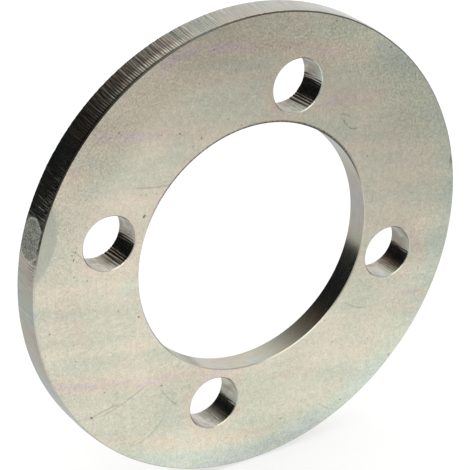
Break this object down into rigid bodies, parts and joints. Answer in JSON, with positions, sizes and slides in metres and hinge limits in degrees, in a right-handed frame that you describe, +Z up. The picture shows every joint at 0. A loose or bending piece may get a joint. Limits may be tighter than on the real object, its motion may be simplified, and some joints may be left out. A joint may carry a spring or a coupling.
{
  "type": "plate ring flange",
  "caption": "Flat round plate flange with a large through bore, evenly spaced clearance bolt holes and a rear bore edge chamfered to clear a mating hub.",
  "frame": {"origin": "centre of the bore in the plane of the rear (mating) face", "axes": "+Y along the bore axis, out of the rear face towards the mating part; the front face looks along -Y; +Z up, with the flange upright"},
  "size_m": [0.15, 0.01, 0.15],
  "materials": {
    "zinc_plated_steel": "satin, yellow-tinted passivated zinc"
  },
  "bodies": {
    "root": {"flange_ring": "zinc_plated_steel"}
  },
  "joints": []
}
